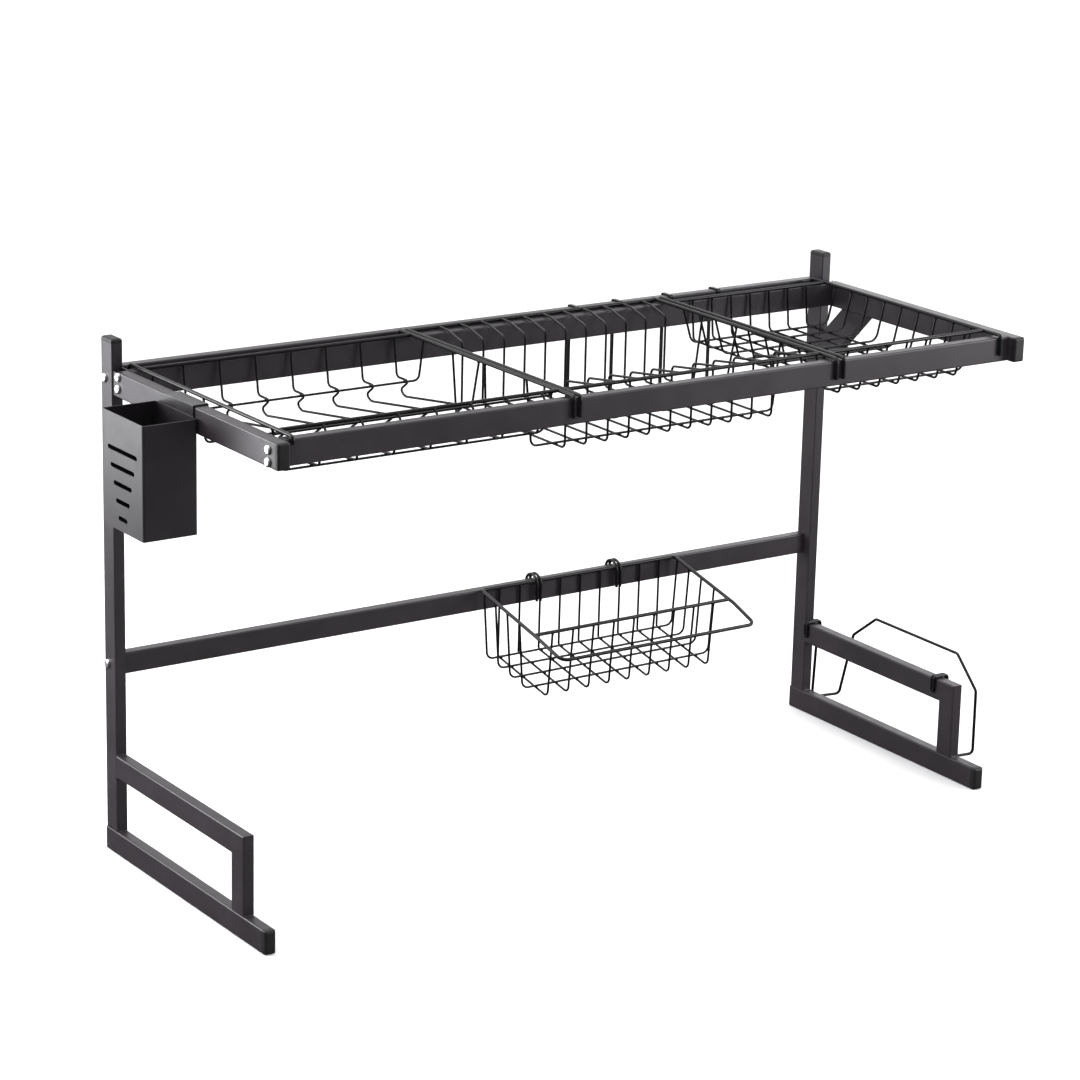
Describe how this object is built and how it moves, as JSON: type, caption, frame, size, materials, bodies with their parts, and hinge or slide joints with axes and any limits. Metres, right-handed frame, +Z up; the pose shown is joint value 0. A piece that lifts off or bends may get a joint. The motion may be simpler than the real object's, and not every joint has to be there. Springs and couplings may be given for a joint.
{
  "type": "over-the-sink dish drying rack",
  "caption": "Black tube-frame dish drying rack that stands over a sink, with lift-out wire baskets, plate slots, a hanging basket, a utensil box, a lid holder and rail hooks.",
  "frame": {"origin": "centre of the overall box, on the floor under the feet", "axes": "+X from the left foot to the right foot, +Y towards the uprights at the back, +Z up"},
  "size_m": [0.9621, 0.3416, 0.52],
  "materials": {
    "frame_powder_coat": "satin black powder coat",
    "wire_powder_coat": "satin black powder coat on wire and strip",
    "utensil_box_paint": "satin black powder coat on sheet",
    "end_caps": "fine matt black plastic",
    "screws": "bright plated steel",
    "end_plugs": "plain zinc-plated steel"
  },
  "bodies": {
    "frame": {"left_upright": "frame_powder_coat", "left_upright_cap": "end_caps", "left_foot_beam": "frame_powder_coat", "left_foot_step_beam": "frame_powder_coat", "left_foot_strut": "frame_powder_coat", "left_arm": "frame_powder_coat", "left_arm_cap": "end_caps", "left_brace": "frame_powder_coat", "left_foot_front_cap": "end_caps", "left_foot_rear_cap": "end_caps", "right_upright": "frame_powder_coat", "right_upright_cap": "end_caps", "right_foot_beam": "frame_powder_coat", "right_foot_step_beam": "frame_powder_coat", "right_foot_strut": "frame_powder_coat", "right_arm": "frame_powder_coat", "right_arm_cap": "end_caps", "right_brace": "frame_powder_coat", "right_foot_front_cap": "end_caps", "right_foot_rear_cap": "end_caps", "lower_crossbar": "frame_powder_coat", "upper_crossbar": "frame_powder_coat", "frame_rear_rail": "frame_powder_coat", "frame_front_rail": "frame_powder_coat", "crossbar_screws": "screws", "rail_screws": "screws", "crossbar_end_plugs": "end_plugs", "rail_end_plugs": "end_plugs"},
    "bowl_basket": {"bowl_basket_rim": "wire_powder_coat", "bowl_basket_cross_wires": "wire_powder_coat", "bowl_basket_long_wires": "wire_powder_coat"},
    "plate_rack": {"plate_rack_rim": "wire_powder_coat", "plate_rack_slot_wires": "wire_powder_coat", "plate_rack_long_wires": "wire_powder_coat"},
    "mesh_basket": {"mesh_basket_rim": "wire_powder_coat", "mesh_basket_depth_wires": "wire_powder_coat", "mesh_basket_width_wires": "wire_powder_coat"},
    "hanging_basket": {"hanging_basket_rim": "wire_powder_coat", "hanging_basket_front_bar": "wire_powder_coat", "hanging_basket_cross_wires": "wire_powder_coat", "hanging_basket_long_wires": "wire_powder_coat", "hanging_basket_hooks": "wire_powder_coat"},
    "utensil_box": {"utensil_box": "utensil_box_paint", "utensil_box_hook_plate": "utensil_box_paint"},
    "lid_holder": {"lid_holder_wire": "wire_powder_coat"},
    "rail_hook_1": {"rail_hook_1": "wire_powder_coat"},
    "rail_hook_2": {"rail_hook_2": "wire_powder_coat"},
    "rail_hook_3": {"rail_hook_3": "wire_powder_coat"},
    "rail_hook_4": {"rail_hook_4": "wire_powder_coat"}
  },
  "joints": [
    {"name": "bowl_basket_lift", "type": "slide", "parent": "frame", "child": "bowl_basket", "axis": [0, 0, 1], "range_m": [0, 0.065]},
    {"name": "plate_rack_lift", "type": "slide", "parent": "frame", "child": "plate_rack", "axis": [0, 0, 1], "range_m": [0, 0.08]},
    {"name": "mesh_basket_lift", "type": "slide", "parent": "frame", "child": "mesh_basket", "axis": [0, 0, 1], "range_m": [0, 0.05]},
    {"name": "hanging_basket_lift", "type": "slide", "parent": "frame", "child": "hanging_basket", "axis": [0, 0, 1], "range_m": [0, 0.03]},
    {"name": "utensil_box_lift", "type": "slide", "parent": "frame", "child": "utensil_box", "axis": [0, 0, 1], "range_m": [0, 0.03]},
    {"name": "lid_holder_lift", "type": "slide", "parent": "frame", "child": "lid_holder", "axis": [0, 0, 1], "range_m": [0, 0.03]},
    {"name": "rail_hook_1_lift", "type": "slide", "parent": "frame", "child": "rail_hook_1", "axis": [0, 0, 1], "range_m": [0, 0.025]},
    {"name": "rail_hook_2_lift", "type": "slide", "parent": "frame", "child": "rail_hook_2", "axis": [0, 0, 1], "range_m": [0, 0.025]},
    {"name": "rail_hook_3_lift", "type": "slide", "parent": "frame", "child": "rail_hook_3", "axis": [0, 0, 1], "range_m": [0, 0.025]},
    {"name": "rail_hook_4_lift", "type": "slide", "parent": "frame", "child": "rail_hook_4", "axis": [0, 0, 1], "range_m": [0, 0.025]}
  ]
}
